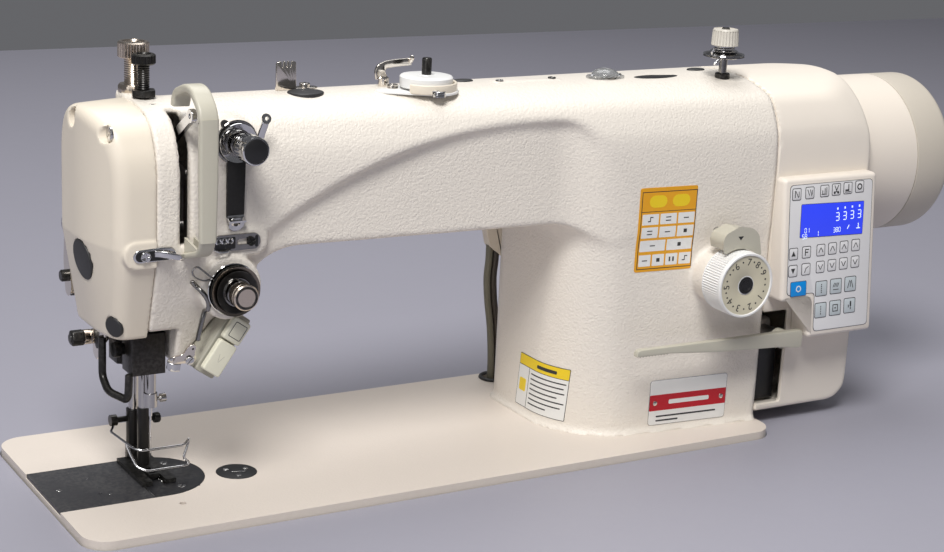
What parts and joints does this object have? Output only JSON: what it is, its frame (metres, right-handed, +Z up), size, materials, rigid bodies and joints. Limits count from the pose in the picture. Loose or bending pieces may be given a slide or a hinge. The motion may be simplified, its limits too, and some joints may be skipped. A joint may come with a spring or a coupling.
{
  "type": "walking foot sewing machine",
  "caption": "Industrial flat-bed sewing machine head with a walking foot, a direct-drive motor at its right end and an operating panel.",
  "frame": {"origin": "middle of the bed's underside, on the middle cross rib, where the machine rests", "axes": "+X along the bed from the needle to the motor, +Y away from the operator, +Z up"},
  "size_m": [0.6363, 0.1855, 0.315],
  "materials": {
    "cast_paint": "fine wrinkle, off-white",
    "cover_plastic": "smooth cream",
    "motor_plastic": "smooth light tan",
    "motor_paint": "satin cream",
    "grey_plastic": "satin grey-beige",
    "black_steel": "blackened, satin",
    "steel": "ground",
    "chrome": "polished",
    "nickel": "nickel plate, bright",
    "bronze": "sintered",
    "rubber": "matte black",
    "lead_jacket": "satin grey-olive",
    "panel_plastic": "smooth cream",
    "switch_body": "satin",
    "key_plastic": "satin cream",
    "white_plastic": "satin white",
    "sight": "clear dome"
  },
  "bodies": {
    "frame": {"bed_casting": "cast_paint", "needle_plate": "black_steel", "arm_casting": "cast_paint", "face_cover": "cover_plastic", "rear_cover": "cast_paint", "bar_block": "black_steel", "shaft_bushes": "bronze", "timing_belt": "rubber", "bobbin_case": "steel", "takeup_guard": "grey_plastic", "thread_guides": "chrome", "tension_bracket": "black_steel", "upper_tension": "chrome", "main_tension": "chrome", "switch_housing": "switch_body", "lock_nuts": "nickel", "winder_base": "cover_plastic", "spool_tension": "chrome", "oil_sight": "sight", "cover_plugs": "rubber", "motor_housing": "motor_paint", "motor_cover": "motor_plastic", "control_panel": "panel_plastic", "trimmer_solenoid": "black_steel", "lead_pair": "lead_jacket", "lead_fittings": "white_plastic"},
    "drive": {"main_shaft": "steel", "upper_pulley": "steel", "handwheel": "grey_plastic"},
    "link": {"needle_link": "steel"},
    "needle_unit": {"needle_bar": "chrome", "needle": "chrome"},
    "takeup": {"takeup_lever": "chrome"},
    "swing": {"swing_frame": "steel"},
    "walk_unit": {"walking_bar": "chrome", "walking_foot": "black_steel"},
    "press_unit": {"presser_bar": "chrome", "presser_foot": "black_steel", "finger_guard": "chrome"},
    "lifter": {"lifter_lever": "nickel"},
    "hook_unit": {"lower_shaft": "steel", "rotary_hook": "steel"},
    "bobbin_body": {"bobbin": "steel"},
    "feed": {"feed_dog": "steel"},
    "rock": {"feed_rock_shaft": "steel"},
    "lift": {"feed_lift_shaft": "steel"},
    "slide": {"slide_plate": "black_steel"},
    "dial": {"stitch_dial": "key_plastic"},
    "lock": {"dial_lock": "grey_plastic"},
    "reverse": {"reverse_lever": "grey_plastic"},
    "main_nut": {"main_tension_nut": "nickel"},
    "upper_knob": {"upper_tension_knob": "black_steel"},
    "check": {"check_spring": "steel"},
    "foot_screw": {"foot_pressure_screw": "nickel"},
    "walk_screw": {"walk_pressure_screw": "black_steel"},
    "winder": {"winder_wheel": "white_plastic"},
    "latch": {"winder_latch": "nickel"},
    "spool_cap": {"spool_tension_cap": "cover_plastic"},
    "back_tack": {"back_tack_button": "key_plastic"},
    "half_stitch": {"half_stitch_button": "key_plastic"}
  },
  "joints": [
    {"name": "main_spin", "type": "hinge", "parent": "frame", "child": "drive", "pos_m": [0, -0.0063, 0.219], "axis": [1, 0, 0], "continuous": true},
    {"name": "link_turn", "type": "hinge", "parent": "drive", "child": "link", "pos_m": [-0.1535, -0.0063, 0.237], "axis": [1, 0, 0], "continuous": true},
    {"name": "hook_spin", "type": "hinge", "parent": "frame", "child": "hook_unit", "pos_m": [0, -0.0063, 0.023], "axis": [1, 0, 0], "continuous": true},
    {"name": "bobbin_spin", "type": "hinge", "parent": "frame", "child": "bobbin_body", "pos_m": [-0.163, -0.0063, 0.023], "axis": [1, 0, 0], "continuous": true},
    {"name": "needle_slide", "type": "slide", "parent": "frame", "child": "needle_unit", "axis": [0, 0, 1], "range_m": [-0.036, 0]},
    {"name": "takeup_swing", "type": "hinge", "parent": "frame", "child": "takeup", "pos_m": [-0.164, 0.0077, 0.244], "axis": [1, 0, 0], "range_deg": [0, 58]},
    {"name": "walk_swing", "type": "hinge", "parent": "frame", "child": "swing", "pos_m": [-0.172, 0.0055, 0.257], "axis": [1, 0, 0], "range_deg": [-1, 1]},
    {"name": "walk_slide", "type": "slide", "parent": "swing", "child": "walk_unit", "axis": [0, 0, 1], "range_m": [0, 0.005]},
    {"name": "presser_lift", "type": "slide", "parent": "frame", "child": "press_unit", "axis": [0, 0, 1], "range_m": [0, 0.008], "stiffness_N_per_m": 400, "springref_m": -0.02},
    {"name": "lifter_turn", "type": "hinge", "parent": "frame", "child": "lifter", "pos_m": [-0.176, 0.0337, 0.162], "axis": [0, 1, 0], "range_deg": [0, 45]},
    {"name": "feed_slide", "type": "slide", "parent": "frame", "child": "feed", "axis": [0, 1, 0], "range_m": [-0.0035, 0.0035]},
    {"name": "feed_rock", "type": "hinge", "parent": "frame", "child": "rock", "pos_m": [0, 0.0397, 0.023], "axis": [1, 0, 0], "range_deg": [-11.8, 11.8]},
    {"name": "lift_rock", "type": "hinge", "parent": "frame", "child": "lift", "pos_m": [0, -0.0463, 0.023], "axis": [1, 0, 0], "range_deg": [-4, 4]},
    {"name": "slide_plate_slide", "type": "slide", "parent": "frame", "child": "slide", "axis": [-1, 0, 0], "range_m": [0, 0.04]},
    {"name": "dial_turn", "type": "hinge", "parent": "frame", "child": "dial", "pos_m": [0.196, -0.0765, 0.1598], "axis": [0, 1, 0], "range_deg": [-180, 100]},
    {"name": "dial_lock_push", "type": "slide", "parent": "frame", "child": "lock", "axis": [0, 1, 0], "range_m": [0, 0.003], "stiffness_N_per_m": 600},
    {"name": "reverse_press", "type": "hinge", "parent": "frame", "child": "reverse", "pos_m": [0.25, -0.076, 0.111], "axis": [0, 1, 0], "range_deg": [-11, 0], "stiffness_Nm_per_rad": 1.2, "springref_deg": 8.59},
    {"name": "main_tension_turn", "type": "hinge", "parent": "frame", "child": "main_nut", "pos_m": [-0.1375, -0.062, 0.1776], "axis": [0, 1, 0], "range_deg": [-180, 180]},
    {"name": "upper_tension_turn", "type": "hinge", "parent": "frame", "child": "upper_knob", "pos_m": [-0.1346, -0.062, 0.2623], "axis": [0, 1, 0], "range_deg": [-180, 180]},
    {"name": "check_spring_swing", "type": "hinge", "parent": "frame", "child": "check", "pos_m": [-0.1375, -0.0477, 0.1776], "axis": [0, 1, 0], "range_deg": [-20, 0], "stiffness_Nm_per_rad": 0.01},
    {"name": "foot_pressure_turn", "type": "hinge", "parent": "frame", "child": "foot_screw", "pos_m": [-0.172, 0.022, 0.294], "axis": [0, 0, 1], "range_deg": [-180, 180]},
    {"name": "walk_pressure_turn", "type": "hinge", "parent": "frame", "child": "walk_screw", "pos_m": [-0.172, 0.0055, 0.294], "axis": [0, 0, 1], "range_deg": [-180, 180]},
    {"name": "winder_spin", "type": "hinge", "parent": "frame", "child": "winder", "pos_m": [0.002, -0.013, 0.289], "axis": [0, 0, 1], "continuous": true},
    {"name": "winder_latch_turn", "type": "hinge", "parent": "frame", "child": "latch", "pos_m": [-0.02, 0.005, 0.289], "axis": [0, 0, 1], "range_deg": [-20, 0]},
    {"name": "spool_cap_turn", "type": "hinge", "parent": "frame", "child": "spool_cap", "pos_m": [0.2195, -0.0238, 0.309], "axis": [0, 0, 1], "range_deg": [-180, 180]},
    {"name": "back_tack_press", "type": "slide", "parent": "frame", "child": "back_tack", "axis": [0, 1, 0], "range_m": [0, 0.0015], "stiffness_N_per_m": 500},
    {"name": "half_stitch_press", "type": "slide", "parent": "frame", "child": "half_stitch", "axis": [0, 1, 0], "range_m": [0, 0.0015], "stiffness_N_per_m": 500}
  ],
  "couplings": [
    {"joint": "link_turn", "follows": "main_spin", "ratio": -1},
    {"joint": "hook_spin", "follows": "main_spin", "ratio": 2},
    {"joint": "lifter_turn", "follows": "presser_lift", "rad_per_m": 98},
    {"joint": "feed_rock", "follows": "feed_slide", "rad_per_m": -58.8}
  ]
}
